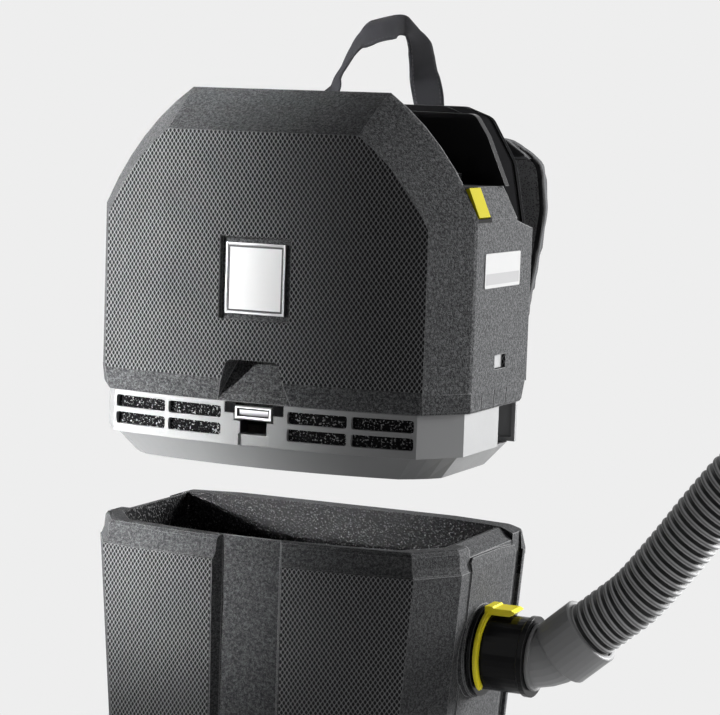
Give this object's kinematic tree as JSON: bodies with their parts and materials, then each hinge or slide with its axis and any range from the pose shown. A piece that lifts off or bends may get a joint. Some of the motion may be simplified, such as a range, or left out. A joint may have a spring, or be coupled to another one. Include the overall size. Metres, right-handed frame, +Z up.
{
  "type": "backpack vacuum cleaner",
  "caption": "Backpack vacuum cleaner with a foam motor head lifted off its open foam container, a padded harness, a side hose port with a lock ring, an elbow and a corrugated suction hose.",
  "frame": {"origin": "middle of the flat underside of the container, on the surface that it stands on", "axes": "+Z up, +Y towards the wearer's back (harness side), +X towards the hose port"},
  "size_m": [1.2007, 0.4298, 0.6054],
  "materials": {
    "foam": "moulded bead foam, dark grey, matt",
    "grey_plastic": "light grey moulded plastic, fine grain",
    "hose_plastic": "mid grey hose plastic, smooth on the elbow and corrugated on the hose",
    "black_plastic": "black moulded plastic, satin to glossy",
    "yellow": "yellow moulded plastic",
    "silver": "bright satin metal",
    "white_plastic": "white satin plate",
    "filter_paper": "white pleated filter fleece",
    "sponge": "open black sponge",
    "webbing": "black woven webbing",
    "mesh_fabric": "dark spacer mesh with black piping",
    "steel": "plain steel",
    "circuit_board": "green circuit board"
  },
  "bodies": {
    "container": {"container": "foam", "port_flange": "black_plastic", "port_nut": "black_plastic", "port_collar": "black_plastic", "hose_tube": "hose_plastic", "hose_end_cuff": "hose_plastic"},
    "lock_ring": {"lock_ring": "yellow"},
    "elbow": {"hose_elbow": "hose_plastic", "hose_cuff": "hose_plastic"},
    "head": {"head_shell": "foam", "bay_wall": "black_plastic", "vent_band": "grey_plastic", "vent_foam_left": "sponge", "vent_foam_right": "sponge", "latch_bracket": "black_plastic", "latch_pin": "steel", "filter_skirt": "grey_plastic", "pleated_filter": "filter_paper", "fan_housing": "black_plastic", "motor_can": "steel", "control_board": "circuit_board", "badge_frame": "silver", "badge_plate": "white_plastic", "side_window": "grey_plastic", "battery_terminal": "black_plastic", "harness_plate": "black_plastic", "back_pad": "mesh_fabric", "carry_strap": "webbing", "shoulder_strap_left": "mesh_fabric", "shoulder_strap_right": "mesh_fabric", "strap_webbing_left": "webbing", "strap_webbing_right": "webbing", "strap_buckle_left": "black_plastic", "strap_buckle_right": "black_plastic"},
    "latch": {"latch_clip": "silver"},
    "button": {"release_button": "yellow"},
    "fan": {"impeller": "grey_plastic"}
  },
  "joints": [
    {"name": "head_lift", "type": "slide", "parent": "container", "child": "head", "axis": [0, 0, 1], "range_m": [-0.058, 0.06]},
    {"name": "elbow_swivel", "type": "hinge", "parent": "container", "child": "elbow", "pos_m": [0.175, 0.01, 0.124], "axis": [1, 0, 0], "range_deg": [-35, 35], "deforming": ["hose_tube"]},
    {"name": "lock_ring_turn", "type": "hinge", "parent": "container", "child": "lock_ring", "pos_m": [0.161, 0.01, 0.124], "axis": [1, 0, 0], "range_deg": [0, 20]},
    {"name": "latch_open", "type": "hinge", "parent": "head", "child": "latch", "pos_m": [0, -0.0765, 0.3027], "axis": [1, 0, 0], "range_deg": [-50, 0]},
    {"name": "button_press", "type": "slide", "parent": "head", "child": "button", "axis": [-0.921, 0, -0.3895], "range_m": [0, 0.003], "stiffness_N_per_m": 400, "springref_m": -0.002},
    {"name": "fan_spin", "type": "hinge", "parent": "head", "child": "fan", "pos_m": [0, 0, 0.33], "axis": [0, 0, 1], "continuous": true}
  ]
}
